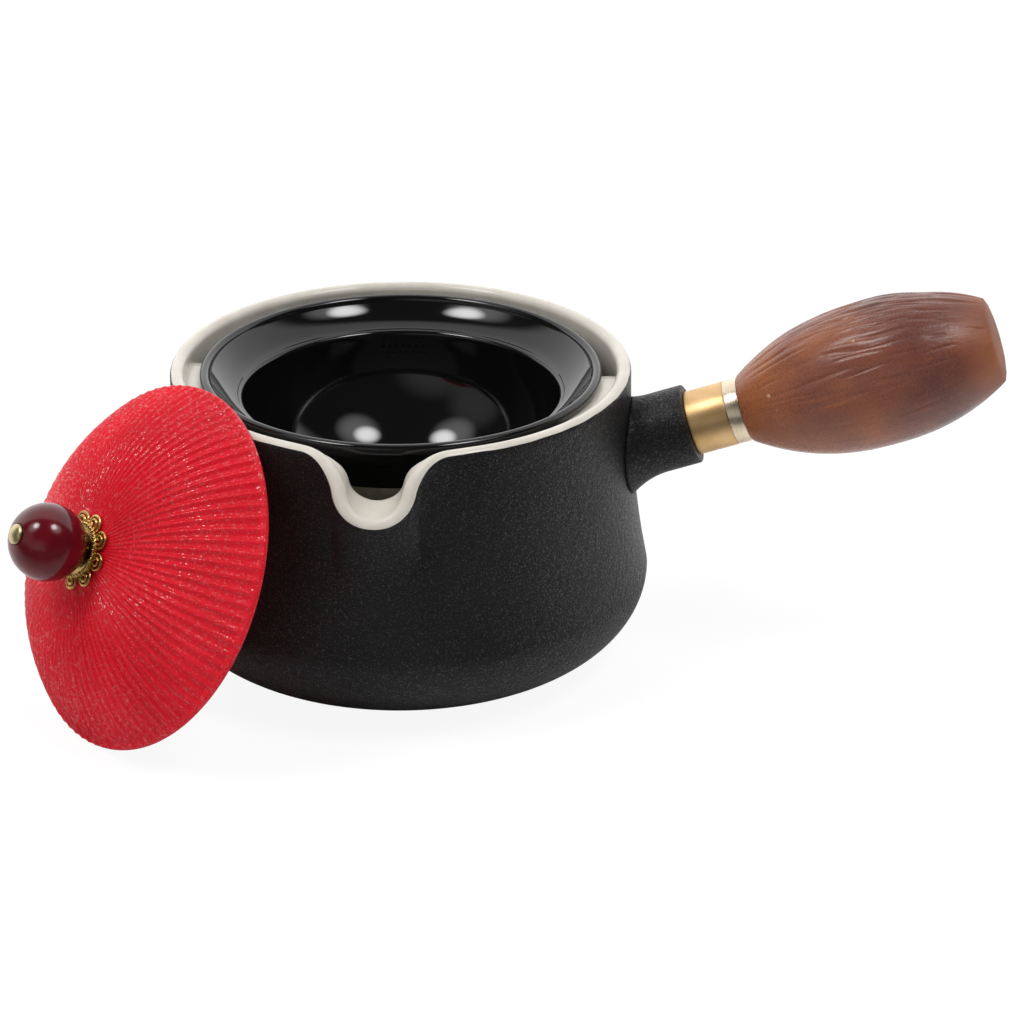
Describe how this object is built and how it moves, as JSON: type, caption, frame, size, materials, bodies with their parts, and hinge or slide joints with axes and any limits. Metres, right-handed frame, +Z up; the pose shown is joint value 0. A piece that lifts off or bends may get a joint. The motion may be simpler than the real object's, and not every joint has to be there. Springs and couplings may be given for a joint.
{
  "type": "side handle teapot",
  "caption": "Small round stoneware teapot with a pulled spout notch, a lift-out inner strainer bowl, a tilted wooden side handle on a brass ferrule and a loose fluted lid leaning on it.",
  "frame": {"origin": "middle of the foot ring, on the table", "axes": "+Z up, +X out along the handle, -Y out of the spout"},
  "size_m": [0.197, 0.1207, 0.0809],
  "materials": {
    "black_stoneware": "matt, fine sandy glaze outside, white glaze on the rim and inside",
    "brass_insert": "turned",
    "steel_stud": "turned",
    "brass_sleeve": "brushed round",
    "pale_brass_ring": "polished",
    "stained_wood": "stained dark, satin lacquer, lightly carved",
    "black_glaze": "mirror gloss",
    "red_glaze": "fine gritty satin glaze over flutes",
    "gilt_brass": "cast, polished",
    "red_bead": "polished, nearly opaque",
    "brass_pin": "polished",
    "soft_washer": "matt"
  },
  "bodies": {
    "pot": {"pot_body": "black_stoneware", "bowl_ledge_right": "black_stoneware", "bowl_ledge_left": "black_stoneware", "handle_socket": "black_stoneware", "socket_bush": "brass_insert", "handle_stud": "steel_stud", "ferrule_sleeve": "brass_sleeve", "ferrule_ring": "pale_brass_ring", "grip_insert": "brass_insert", "handle_grip": "stained_wood"},
    "infuser": {"infuser_bowl": "black_glaze"},
    "lid": {"lid_dome": "red_glaze", "bead_cap": "gilt_brass", "knob_ball": "red_bead", "knob_pin": "brass_pin", "pin_washer": "soft_washer", "pin_nut": "brass_insert"}
  },
  "joints": [
    {"name": "bowl_lift", "type": "slide", "parent": "pot", "child": "infuser", "axis": [0, 0, 1], "range_m": [0, 0.075]},
    {"name": "lid_lift", "type": "slide", "parent": "pot", "child": "lid", "axis": [-0.6813, -0.5717, 0.4571], "range_m": [0, 0.08]}
  ]
}
